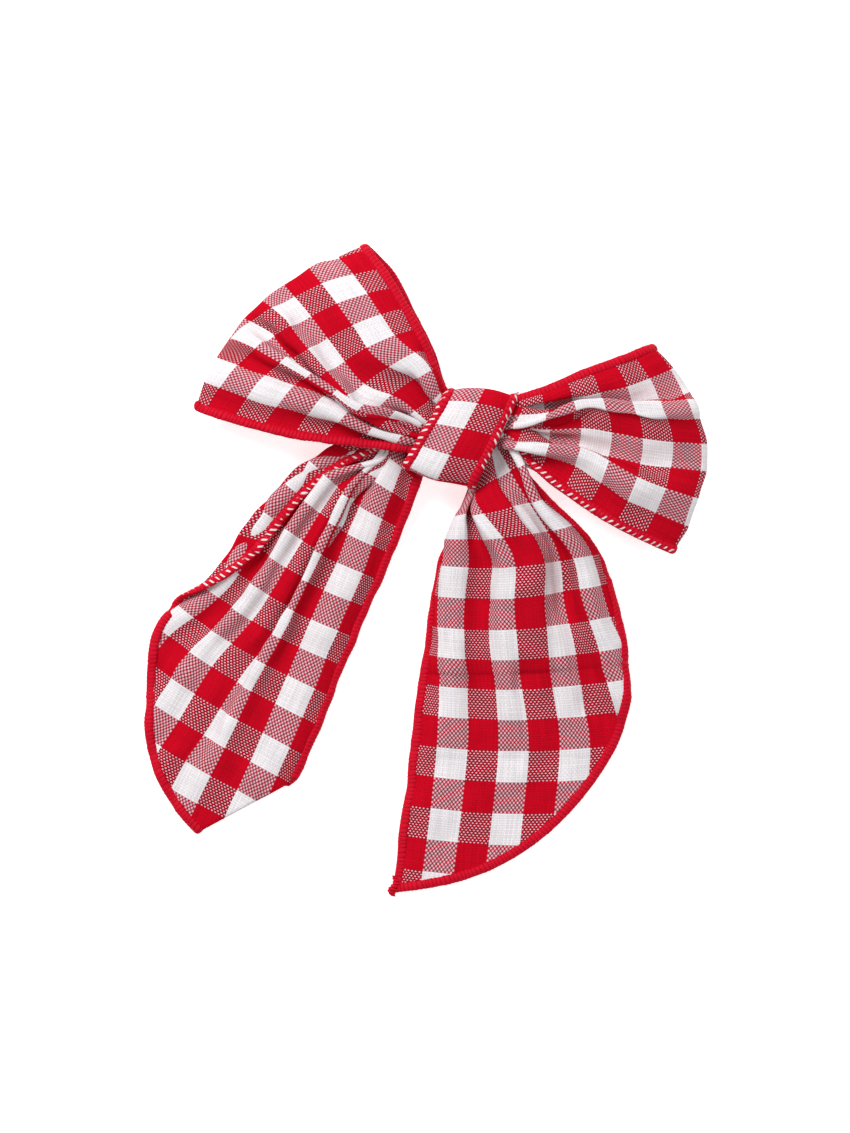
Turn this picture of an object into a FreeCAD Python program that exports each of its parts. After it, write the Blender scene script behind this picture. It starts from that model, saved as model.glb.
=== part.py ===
"""Gingham hair bow on a sprung hair clip, lying on its back.

One strip of woven cotton, nine checks wide, is folded into two loops and two tails, gathered at
the waist, bound with thread, glued to the clip's upper arm and covered by a narrow wrap that goes
round the waist and the arm. Every raw edge is oversewn with a thick thread edging.

Frame: millimetres, +Z up, out of the bow's face. The origin is on the flat underside of the clip,
midway across the wrap. +X runs along the clip from its jaw tip to its finger tabs, the tails hang
towards -Y, and the clip's hinge pin lies along Y.
"""

import FreeCAD, Part
import math
import os

Vector = FreeCAD.Vector

# Cloth and edging
CHECK = 6.35  # one gingham check
CLOTH = 0.7  # thickness of a cloth panel
EDGING = 1.5  # width and thickness of the oversewn edge
EDGING_GAP = 0.05  # between a cloth edge and its edging
POINTS_ACROSS = 9  # grid points across a cloth panel

WRAP_END_X = 1.1 * CHECK  # the wrap is two checks wide and a little over, with its edging
WRAP_EDGING_X = WRAP_END_X - EDGING  # the wrap's cloth ends here, and its edging starts
WRAP_EDGING = 1.2  # thickness
WRAP_CLEARANCE = 0.05

# Waist, which is the gathered middle of the strip; Y is across the strip, Z is up
WAIST_HALF_LENGTH = 7.5  # along X
WAIST_ROUND = 1.5  # corner radius of the waist's section
WAIST_Y = (-11.5, 5.5)  # centres of the corner radii
WAIST_Z = (8.3, 11.3)
THREAD = 0.3  # thickness of the turns of gathering thread
THREAD_TURNS = 10
GLUE_MARGIN = 0.4  # the glue stops short of the arm's long edges

# Clip
ARM = 0.6  # sheet steel thickness
ARM_WIDTH = 6.4
TIP_WIDTH = 4.6
TIP_X = -21.0
TAB_X = 21.0
TAPER_X = -8.0  # the arms taper from here to the tip
ARM_NOSE = 1.6  # how far the rounded ends stand out
HINGE_X = 9.0
HINGE_Z = 3.4
PIN_R = 0.7
PIN_FIXED_CLEARANCE = 0.02
PIN_RUNNING_CLEARANCE = 0.05
PIN_HEAD_R = 1.15
PIN_HEAD = 0.4
EAR_R = 1.6
EAR_GAP = 0.1  # between the two arms' ears
UPPER_ARM_Z = 5.9  # mid-thickness, along the stretch under the waist
TOOTH_PITCH = 1.5
TOOTH_HEIGHT = 0.8
TOOTH_WIDTH = 0.6
TOOTH_INSET = 0.3  # from the arm's edge at the tip
FIRST_TOOTH = 1.7  # from the tip
TEETH = 5
SPRING_STRIP = 0.35
SPRING_WIDTH = 3.0
SPRING_BEND_R = 1.25
SPRING_BEND = (110, 250)  # degrees, from where it leaves one leg to where it meets the other
SPRING_BEND_STEPS = 8
SPRING_END_X = 17.0
SPRING_GAP = 0.1  # between each leg's end and its arm


def save(shape, name):
    """Writes one node and says how large it is."""
    if not shape.isValid() or not all(solid.isClosed() for solid in shape.Solids):
        print("NOT SOUND:", name)
    shape.exportStep(os.path.join("parts", name + ".step"))
    box = shape.BoundBox
    print(f"{name}: {len(shape.Solids)} solid, {shape.Volume:.1f} mm3, z {box.ZMin:.2f} to {box.ZMax:.2f}")


# ---------------------------------------------------------------- cloth panels


def station(left, right, crown=0.0, bulge=0.0):
    """Points across a panel from left to right, each (x, y, z).

    crown lifts the middle and bulge pushes the middle of the line sideways in plan.
    """
    start, end = Vector(*left), Vector(*right)
    run = end - start
    outward = Vector(run.y, -run.x, 0).normalize()
    points = []
    for index in range(POINTS_ACROSS):
        t = index / (POINTS_ACROSS - 1)
        arch = 4 * t * (1 - t)
        points.append(start + run * t + outward * (bulge * arch) + Vector(0, 0, crown * arch))
    return points


def normals(rows):
    """Unit normals of a grid of points. At the waist they keep out of X, so that the panel's
    end is flat against it."""
    last_row, last = len(rows) - 1, len(rows[0]) - 1
    found = []
    for i, row in enumerate(rows):
        line = []
        for j, point in enumerate(row):
            along = rows[min(i + 1, last_row)][j] - rows[max(i - 1, 0)][j]
            across = row[min(j + 1, last)] - row[max(j - 1, 0)]
            normal = along.cross(across)
            if at_waist(point):
                normal.x = 0.0
            line.append(normal.normalize())
        found.append(line)
    return found


def at_waist(point):
    return abs(abs(point.x) - WAIST_HALF_LENGTH) < 1e-6


def clamped_knots(count, degree):
    """Knots and multiplicities of a clamped curve with that many poles."""
    spans = count - degree
    return list(range(spans + 1)), [degree + 1] + [1] * (spans - 1) + [degree + 1]


def skin(rows, shifts):
    """A smooth surface drawn towards the grid's points, each moved by its shift."""
    poles = [[p + s for p, s in zip(row, line)] for row, line in zip(rows, shifts)]
    degree_u, degree_v = min(3, len(poles) - 1), min(3, len(poles[0]) - 1)
    knots_u, mults_u = clamped_knots(len(poles), degree_u)
    knots_v, mults_v = clamped_knots(len(poles[0]), degree_v)
    surface = Part.BSplineSurface()
    surface.buildFromPolesMultsKnots(
        poles, mults_u, mults_v, knots_u, knots_v, False, False, degree_u, degree_v
    )
    return surface


def sheet(rows, thickness, directions=None):
    """A closed solid of that thickness, half on each side of the grid."""
    directions = directions or normals(rows)
    half = thickness / 2
    top = skin(rows, [[n * half for n in line] for line in directions])
    bottom = skin(rows, [[n * -half for n in line] for line in directions])
    u0, u1, v0, v1 = top.bounds()
    faces = [top.toShape(), bottom.toShape()]
    for upper, lower in (
        (top.uIso(u0), bottom.uIso(u0)),
        (top.uIso(u1), bottom.uIso(u1)),
        (top.vIso(v0), bottom.vIso(v0)),
        (top.vIso(v1), bottom.vIso(v1)),
    ):
        faces.append(Part.makeRuledSurface(upper.toShape(), lower.toShape()))
    shell = Part.Compound(faces)
    shell.sewShape()
    solid = Part.Solid(Part.Shell(shell.Faces))
    if solid.Volume < 0:
        solid.reverse()
    return solid


def edging(rows, side):
    """The oversewn edge along one side of a panel: side 0 is its left edge and -1 its right."""
    inner = 1 if side == 0 else -2
    strip, strip_directions = [], []
    for row, line in zip(rows, normals(rows)):
        outward = row[side] - row[inner]
        outward -= line[side] * outward.dot(line[side])
        if at_waist(row[side]):
            outward.x = 0.0
        outward.normalize()
        start = row[side] + outward * EDGING_GAP
        strip.append([start, start + outward * EDGING])
        strip_directions.append([line[side]] * 2)
    return sheet(strip, EDGING, strip_directions)


# Each loop goes out from the waist, turns over at its fold and comes back underneath.
# Left and right of a station are the loop's upper and lower edge.
LEFT_LOOP = [
    station((-7.5, 3.6, 11.6), (-7.5, -9.9, 11.4), crown=0.3),
    station((-17.5, 12.4, 13.6), (-18.5, -14.0, 12.4), crown=2.6),
    station((-27.0, 17.8, 13.2), (-31.0, -18.0, 11.8), crown=3.0),
    station((-36.0, 21.4, 11.2), (-46.0, -20.4, 10.0), crown=1.6, bulge=2.6),
    station((-42.0, 21.6, 6.6), (-56.5, -21.6, 5.8), crown=0.6, bulge=3.0),
    station((-36.0, 21.2, 2.6), (-46.0, -20.4, 2.4), crown=0.3, bulge=2.6),
    station((-27.0, 17.4, 5.6), (-31.0, -17.6, 5.8), crown=0.3),
    station((-17.5, 11.6, 8.4), (-18.5, -13.4, 8.6), crown=0.4),
    station((-7.5, 3.6, 9.6), (-7.5, -9.9, 9.6)),
]
RIGHT_LOOP = [
    station((7.5, 4.9, 11.9), (7.5, 0.9, 11.9), crown=0.2),
    station((14.5, 14.2, 14.4), (15.5, -1.6, 13.0), crown=1.8),
    station((22.5, 23.6, 13.4), (26.5, -4.4, 12.4), crown=3.4),
    station((28.6, 29.4, 11.2), (42.0, -5.0, 10.8), crown=2.4, bulge=-2.6),
    station((33.0, 30.4, 6.8), (54.0, -4.8, 6.2), crown=0.8, bulge=-4.0),
    station((28.6, 29.0, 2.6), (42.0, -4.8, 2.4), crown=0.4, bulge=-2.6),
    station((22.5, 23.0, 8.6), (26.5, -4.2, 9.4), crown=0.4),
    station((14.5, 13.6, 10.2), (15.5, -1.4, 10.6), crown=0.4),
    station((7.5, 4.9, 9.7), (7.5, 0.9, 9.7)),
]
# Each tail goes out from the waist and down to its point. Left and right are its two edges,
# seen from its root.
LEFT_TAIL = [
    station((-7.5, -10.4, 7.6), (-7.5, -2.6, 7.6)),
    station((-8.6, -16.0, 3.8), (-15.5, -8.4, 5.0), crown=0.4),
    station((-3.4, -23.0, 1.8), (-24.4, -18.8, 2.2), crown=1.6),
    station((-2.2, -37.9, 1.3), (-30.9, -34.6, 1.3), crown=2.4),
    station((-2.0, -52.0, 1.1), (-34.6, -53.5, 1.1), crown=2.2),
    station((-1.2, -64.0, 1.1), (-35.2, -68.2, 1.1), crown=1.4),
    station((-0.7, -75.5, 1.1), (-31.4, -80.0, 1.1), crown=0.8),
    station((-2.6, -84.0, 1.1), (-26.0, -88.7, 1.1), crown=0.5),
    station((-7.6, -91.2, 1.1), (-18.9, -95.3, 1.1), crown=0.2),
    station((-11.6, -97.0, 1.1), (-15.2, -98.8, 1.1)),
]
RIGHT_TAIL = [
    station((7.5, -2.4, 7.9), (7.5, -9.9, 7.7)),
    station((15.4, -6.6, 7.0), (8.9, -16.4, 5.2), crown=0.6),
    station((25.2, -9.0, 5.4), (9.4, -26.0, 3.0), crown=1.6),
    station((34.8, -13.1, 3.4), (11.6, -38.4, 1.6), crown=2.6),
    station((43.0, -18.8, 1.6), (13.8, -47.5, 1.1), crown=2.6),
    station((51.2, -28.6, 1.1), (16.6, -56.5, 1.1), crown=2.0),
    station((56.0, -41.5, 1.1), (19.6, -66.0, 1.1), crown=1.2),
    station((55.6, -57.0, 1.1), (23.0, -75.5, 1.1), crown=0.7),
    station((49.6, -70.2, 1.1), (26.4, -83.5, 1.1), crown=0.4),
    station((41.0, -79.8, 1.1), (28.3, -88.8, 1.1), crown=0.2),
    station((32.6, -88.6, 1.1), (29.6, -92.0, 1.1)),
]


# ---------------------------------------------------------------- waist and wrap


def section(corners, radius):
    """A face in the YZ plane: the polygon through the corners, grown by radius, at X = 0."""
    points = [Vector(0, y, z) for y, z in corners]
    face = Part.Face(Part.makePolygon(points + points[:1]))
    return face.makeOffset2D(radius, 0, False, False, True)


def block(corners, radius, x0, x1):
    """The grown polygon drawn out from x0 to x1."""
    face = section(corners, radius)
    face.translate(Vector(x0, 0, 0))
    return face.extrude(Vector(x1 - x0, 0, 0))


def ring(corners, inner, thickness, x0, x1):
    return block(corners, inner + thickness, x0, x1).cut(block(corners, inner, x0 - 1, x1 + 1))


WAIST_CORNERS = [
    (WAIST_Y[0], WAIST_Z[0]),
    (WAIST_Y[1], WAIST_Z[0]),
    (WAIST_Y[1], WAIST_Z[1]),
    (WAIST_Y[0], WAIST_Z[1]),
]
WRAP_INNER = WAIST_ROUND + THREAD + WRAP_CLEARANCE
# The wrap goes round the waist and then under the clip's upper arm.
UNDER_ARM = (2.8, UPPER_ARM_Z - ARM / 2 - 2 * WRAP_CLEARANCE + WRAP_INNER)
WRAP_CORNERS = [
    (-UNDER_ARM[0], UNDER_ARM[1]),
    (UNDER_ARM[0], UNDER_ARM[1]),
    (WAIST_Y[1], WAIST_Z[0]),
    (WAIST_Y[1], WAIST_Z[1]),
    (WAIST_Y[0], WAIST_Z[1]),
    (WAIST_Y[0], WAIST_Z[0]),
]


def gathered_waist():
    return block(WAIST_CORNERS, WAIST_ROUND, -WAIST_HALF_LENGTH, WAIST_HALF_LENGTH)


def gathering_thread():
    """Turns of thread side by side, pulled tight round the waist."""
    turns = []
    for turn in range(THREAD_TURNS):
        x = (turn - THREAD_TURNS / 2) * THREAD
        turns.append(ring(WAIST_CORNERS, WAIST_ROUND, THREAD, x, x + THREAD))
    joined = turns[0]
    for turn in turns[1:]:
        joined = joined.fuse(turn)
    return joined.removeSplitter()


def centre_wrap():
    return ring(WRAP_CORNERS, WRAP_INNER, CLOTH, -WRAP_EDGING_X, WRAP_EDGING_X)


def wrap_edging(side):
    x0, x1 = sorted((side * WRAP_EDGING_X, side * WRAP_END_X))
    return ring(WRAP_CORNERS, WRAP_INNER, WRAP_EDGING, x0, x1)


def glue_pad():
    """Hot-melt adhesive between the upper arm and the waist, spread round the thread."""
    bottom = UPPER_ARM_Z + ARM / 2
    top = WAIST_Z[0] - WAIST_ROUND
    width = ARM_WIDTH - 2 * GLUE_MARGIN
    pad = Part.makeBox(
        2 * WRAP_EDGING_X, width, top - bottom, Vector(-WRAP_EDGING_X, -width / 2, bottom)
    )
    half_run = THREAD_TURNS * THREAD / 2
    return pad.cut(block(WAIST_CORNERS, WAIST_ROUND + THREAD, -half_run, half_run))


# ---------------------------------------------------------------- clip


def bent_strip(line, thickness, width):
    """A strip of sheet that follows a line of (x, z) points, with mitred bends."""
    offsets = []
    for i, (x, z) in enumerate(line):
        before = Vector(x, 0, z) - Vector(line[i - 1][0], 0, line[i - 1][1]) if i else None
        after = (
            Vector(line[i + 1][0], 0, line[i + 1][1]) - Vector(x, 0, z) if i + 1 < len(line) else None
        )
        before, after = before or after, after or before
        n1 = Vector(-before.z, 0, before.x).normalize()
        n2 = Vector(-after.z, 0, after.x).normalize()
        bisector = (n1 + n2).normalize()
        offsets.append(bisector * (thickness / 2 / bisector.dot(n1)))
    centre = [Vector(x, -width / 2, z) for x, z in line]
    upper = [p + o for p, o in zip(centre, offsets)]
    lower = [p - o for p, o in zip(centre, offsets)]
    outline = upper + lower[::-1]
    return Part.Face(Part.makePolygon(outline + outline[:1])).extrude(Vector(0, width, 0))


def arm_outline():
    """A prism over the plan of both arms: parallel, tapering to the jaw tip, with rounded ends."""
    half, tip = ARM_WIDTH / 2, TIP_WIDTH / 2
    corners = [
        Vector(TAB_X - ARM_NOSE, half, 0),
        Vector(TAPER_X, half, 0),
        Vector(TIP_X + ARM_NOSE, tip, 0),
    ]
    mirrored = [Vector(p.x, -p.y, 0) for p in corners[::-1]]
    edges = [
        Part.LineSegment(corners[0], corners[1]).toShape(),
        Part.LineSegment(corners[1], corners[2]).toShape(),
        Part.Arc(corners[2], Vector(TIP_X, 0, 0), mirrored[0]).toShape(),
        Part.LineSegment(mirrored[0], mirrored[1]).toShape(),
        Part.LineSegment(mirrored[1], mirrored[2]).toShape(),
        Part.Arc(mirrored[2], Vector(TAB_X, 0, 0), corners[0]).toShape(),
    ]
    return Part.Face(Part.Wire(edges)).extrude(Vector(0, 0, 2 * UPPER_ARM_Z))


def ear(y0, y1, attach_z, hole_r):
    """One hinge ear: a rounded tab round the pin, joined to its arm at attach_z."""
    centre = Vector(HINGE_X, y0, HINGE_Z)
    along = Vector(0, 1, 0)
    low, high = sorted((HINGE_Z, attach_z))
    web = Part.makeBox(2 * EAR_R, y1 - y0, high - low, Vector(HINGE_X - EAR_R, y0, low))
    body = Part.makeCylinder(EAR_R, y1 - y0, centre, along).fuse(web)
    return body.cut(Part.makeCylinder(hole_r, y1 - y0, centre, along))


def with_ears(arm, outer_y, attach_z, hole_r):
    for side in (-1, 1):
        y0, y1 = sorted((side * (outer_y - ARM), side * outer_y))
        arm = arm.fuse(ear(y0, y1, attach_z, hole_r))
    return arm.removeSplitter()


UPPER_LINE = [
    (TIP_X, 2.9),
    (-18.0, 3.5),
    (-10.5, UPPER_ARM_Z),
    (12.0, UPPER_ARM_Z),
    (TAB_X, 7.8),
]
LOWER_LINE = [(TIP_X, 2.15), (-18.5, 1.2), (-14.5, ARM / 2), (TAB_X, ARM / 2)]


def height_on(line, x):
    """Mid-thickness height of an arm at x."""
    for (x0, z0), (x1, z1) in zip(line, line[1:]):
        if x0 <= x <= x1:
            return z0 + (z1 - z0) * (x - x0) / (x1 - x0)
    return line[-1][1]


def clip_upper_arm():
    arm = bent_strip(UPPER_LINE, ARM, ARM_WIDTH + 2).common(arm_outline())
    return with_ears(arm, ARM_WIDTH / 2, UPPER_ARM_Z, PIN_R + PIN_FIXED_CLEARANCE)


def jaw_teeth():
    """Two rows of teeth that stand up from the lower arm's tip, clear of the upper arm."""
    teeth = []
    for side in (-1, 1):
        outer = TIP_WIDTH / 2 - TOOTH_INSET
        y0, y1 = sorted((side * (outer - TOOTH_WIDTH), side * outer))
        for index in range(TEETH):
            x = TIP_X + FIRST_TOOTH + index * TOOTH_PITCH
            base = height_on(LOWER_LINE, x)
            half_base = 0.45 * TOOTH_PITCH
            outline = [
                Vector(x - half_base, y0, base),
                Vector(x + half_base, y0, base),
                Vector(x, y0, base + ARM / 2 + TOOTH_HEIGHT),
            ]
            face = Part.Face(Part.makePolygon(outline + outline[:1]))
            teeth.append(face.extrude(Vector(0, y1 - y0, 0)))
    return teeth


def clip_lower_arm():
    arm = bent_strip(LOWER_LINE, ARM, ARM_WIDTH + 2).common(arm_outline())
    for tooth in jaw_teeth():
        arm = arm.fuse(tooth)
    inner_y = ARM_WIDTH / 2 - ARM - EAR_GAP
    return with_ears(arm, inner_y, ARM / 2, PIN_R + PIN_RUNNING_CLEARANCE)


def hinge_pin():
    half = ARM_WIDTH / 2
    along = Vector(0, 1, 0)
    pin = Part.makeCylinder(PIN_R, 2 * half, Vector(HINGE_X, -half, HINGE_Z), along)
    for y in (-half - PIN_HEAD, half):
        pin = pin.fuse(Part.makeCylinder(PIN_HEAD_R, PIN_HEAD, Vector(HINGE_X, y, HINGE_Z), along))
    return pin.removeSplitter()


def clip_spring():
    """A leaf bent round the pin, with a leg under each finger tab."""
    first, last = SPRING_BEND
    bend = []
    for step in range(SPRING_BEND_STEPS + 1):
        angle = math.radians(first + (last - first) * step / SPRING_BEND_STEPS)
        bend.append((HINGE_X + SPRING_BEND_R * math.cos(angle), HINGE_Z + SPRING_BEND_R * math.sin(angle)))
    off_arm = ARM / 2 + SPRING_STRIP / 2 + SPRING_GAP
    upper_leg = (SPRING_END_X, height_on(UPPER_LINE, SPRING_END_X) - off_arm)
    lower_leg = (SPRING_END_X, height_on(LOWER_LINE, SPRING_END_X) + off_arm)
    return bent_strip([upper_leg] + bend + [lower_leg], SPRING_STRIP, SPRING_WIDTH)


# ---------------------------------------------------------------- all nodes


def main():
    os.makedirs("parts", exist_ok=True)
    for name, rows, edge_names in (
        ("left_loop", LEFT_LOOP, ("upper", "lower")),
        ("right_loop", RIGHT_LOOP, ("upper", "lower")),
        ("left_tail", LEFT_TAIL, ("inner", "outer")),
        ("right_tail", RIGHT_TAIL, ("outer", "inner")),
    ):
        save(sheet(rows, CLOTH), name)
        for side, edge in zip((0, -1), edge_names):
            save(edging(rows, side), f"{name}_{edge}_edging")
    save(gathered_waist(), "gathered_waist")
    save(gathering_thread(), "gathering_thread")
    save(centre_wrap(), "centre_wrap")
    save(wrap_edging(-1), "centre_wrap_left_edging")
    save(wrap_edging(1), "centre_wrap_right_edging")
    save(glue_pad(), "glue_pad")
    save(clip_upper_arm(), "clip_upper_arm")
    save(clip_lower_arm(), "clip_lower_arm")
    save(clip_spring(), "clip_spring")
    save(hinge_pin(), "clip_hinge_pin")


main()
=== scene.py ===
"""A gingham hair bow lying on its back on a pale table, seen from straight above.

The cloth is built as on the real bow: a strip of cotton, nine checks wide, makes two loops and two
tails and is gathered at the waist. Each of these panels is a run of stations. Lengths are
millimetres until a mesh is made. u counts checks across the strip and v checks along it.
"""

import math

import bpy
import numpy as np
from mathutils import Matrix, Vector


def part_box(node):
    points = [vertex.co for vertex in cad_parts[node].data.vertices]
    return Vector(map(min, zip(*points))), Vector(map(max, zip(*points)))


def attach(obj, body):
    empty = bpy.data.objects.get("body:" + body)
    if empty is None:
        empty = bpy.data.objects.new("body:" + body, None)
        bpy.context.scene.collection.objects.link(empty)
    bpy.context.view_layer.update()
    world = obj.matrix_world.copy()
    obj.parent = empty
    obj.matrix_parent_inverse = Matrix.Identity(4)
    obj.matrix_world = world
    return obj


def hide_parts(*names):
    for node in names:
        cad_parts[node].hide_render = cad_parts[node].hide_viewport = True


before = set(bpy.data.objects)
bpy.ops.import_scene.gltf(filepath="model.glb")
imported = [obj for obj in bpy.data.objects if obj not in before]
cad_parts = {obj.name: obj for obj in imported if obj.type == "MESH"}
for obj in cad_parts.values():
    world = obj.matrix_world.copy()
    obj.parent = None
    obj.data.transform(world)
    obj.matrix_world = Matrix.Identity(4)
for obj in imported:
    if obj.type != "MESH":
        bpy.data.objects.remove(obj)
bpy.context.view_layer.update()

MM = 0.001
CHECK = 6.35  # one gingham check
CHECKS_ACROSS = 9
STRIP = CHECK * CHECKS_ACROSS
COLUMNS_PER_CHECK = 20  # mesh columns
ROW_STEP = 0.45  # spacing of mesh rows along a panel
CLOTH = 0.26  # thickness
HEM_HALF_WIDTH = 0.95  # of the oversewn edging
HEM_HALF_DEPTH = 0.62
STITCH = 0.85  # length of one oversewn stitch
VIEW_TURN = math.radians(26.0)  # the camera is turned this far about Z
FLOOR_CLEARANCE = 0.35  # lowest height of the middle of the cloth


def seen(p, q, z):
    """A point given as right and up in the camera's view from the clip's middle, and a height."""
    c, s = math.cos(VIEW_TURN), math.sin(VIEW_TURN)
    return (p * c - q * s, p * s + q * c, z)


# ---------------------------------------------------------------- cloth geometry


def catmull(values, samples):
    """Values at stations 0, 1, 2 ... carried smoothly to the sample positions."""
    v = np.asarray(values, float)
    v = v.reshape(len(v), -1)
    ends = np.vstack([2 * v[0] - v[1], v, 2 * v[-1] - v[-2]])
    k = np.clip(np.floor(samples).astype(int), 0, len(v) - 2)
    t = (samples - k)[:, None]
    a, b, c, d = (ends[k + i] for i in range(4))
    curve = 2 * b + (c - a) * t + (2 * a - 5 * b + 4 * c - d) * t**2 + (3 * b - a - 3 * c + d) * t**3
    return curve / 2


def unit(v):
    return v / np.maximum(np.linalg.norm(v, axis=-1, keepdims=True), 1e-9)


def run_along(path):
    """Distance along a path at each of its points."""
    return np.concatenate([[0], np.cumsum(np.linalg.norm(np.diff(path, axis=0), axis=1))])


def ridge(u, centre, width):
    """Slope of the cloth over a ridge at column centre, 1 at its steepest."""
    x = (u - centre) / width
    return -1.65 * x * np.exp(-x * x / 2)


def tuck(u, centre, width):
    """Slope of the cloth at a tuck: what is left of it lies over what is right of it."""
    x = (u - centre) / width
    return -(1 - x * x) * np.exp(-x * x / 2)


EVEN_AT_WAIST = 0.8  # how evenly a loop's whole width is gathered at the waist
STEEPEST = 2.8  # radians: how far the cloth can turn back in a fold
MOST_GATHER = 4.0  # the search for the amount of gather starts between 0 and this
HALVINGS = 28


def fit_sections(base, gather, chords, step):
    """Bends each row's flat width into gathers until it spans its chord.

    base is the slope that the row has anyway, and gather the pattern that takes up the slack.
    Returns distances along the chord and heights over it.
    """
    low, high = np.zeros(len(chords)), np.full(len(chords), MOST_GATHER)

    def spans(amount):
        slope = STEEPEST * np.tanh((base + amount[:, None] * gather) / STEEPEST)
        along, up = np.cos(slope), np.sin(slope)
        along = np.cumsum((along[:, 1:] + along[:, :-1]) / 2, axis=1) * step
        up = np.cumsum((up[:, 1:] + up[:, :-1]) / 2, axis=1) * step
        zero = np.zeros((len(amount), 1))
        return np.hstack([zero, along]), np.hstack([zero, up])

    for _ in range(HALVINGS):
        middle = (low + high) / 2
        along, up = spans(middle)
        long = np.hypot(along[:, -1], up[:, -1]) > chords
        low, high = np.where(long, middle, low), np.where(long, high, middle)
    along, up = spans((low + high) / 2)
    tilt = np.arctan2(up[:, -1], along[:, -1])[:, None]
    c, s = np.cos(tilt), np.sin(tilt)
    along, up = along * c + up * s, up * c - along * s
    fit = (chords / along[:, -1])[:, None]
    return along * fit, up


def waves(u, count, seed):
    """An uneven run of gathers across the strip, as slopes."""
    local = np.random.default_rng(seed)
    phase = 2 * math.pi * count * u / CHECKS_ACROSS + local.uniform(0, 6)
    for k in (1, 2, 3):
        phase = phase + 0.5 / k * np.sin(2 * math.pi * k * u / CHECKS_ACROSS + local.uniform(0, 6))
    return np.sin(phase)


def ridges(u, crests):
    """Broad gathers with their crests at these columns, as slopes."""
    return -np.sin(np.interp(u, crests, 2 * math.pi * np.arange(len(crests))))


CRINKLE_WAVES = 22
CRINKLE_RANGE = (0.15, 1.1)  # waves a check


def crinkle(u, v, seed, size):
    """The faint unevenness of worn cotton, as a height over the flat cloth."""
    local = np.random.default_rng(seed)
    height = np.zeros_like(u)
    for _ in range(CRINKLE_WAVES):
        wave = local.uniform(*CRINKLE_RANGE)
        turn = local.uniform(0, math.pi)
        phase = 2 * math.pi * wave * (u * math.cos(turn) + v * math.sin(turn)) + local.uniform(0, 6)
        height += np.sin(phase) / (0.6 + 2.2 * wave)  # short waves are lower
    return height * size


ROW_EVENING = 0.9  # checks over which woven rows are evened out
SAMPLES_A_STATION = 40
HANDOVER_START, HANDOVER = 3.2, 16.0  # from the waist, where its gathers give way to the outer ones
FULLEST = 0.998  # a row bows to at most this share of its flat width
ROLL_ARC = 0.55 * math.pi  # flat length in which a rolled edge takes its turn


def evened(v, spread):
    """Values smoothed from column to column, with their overall slant kept."""
    reach = np.arange(v.shape[1])
    apart = reach[:, None] - reach[None, :]
    weight = np.exp(-0.5 * (apart / spread) ** 2)
    slope = (v[:, -1:] - v[:, :1]) / (v.shape[1] - 1) * reach
    weight /= weight.sum(1, keepdims=True)
    return (v - slope) @ weight.T + slope


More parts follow.
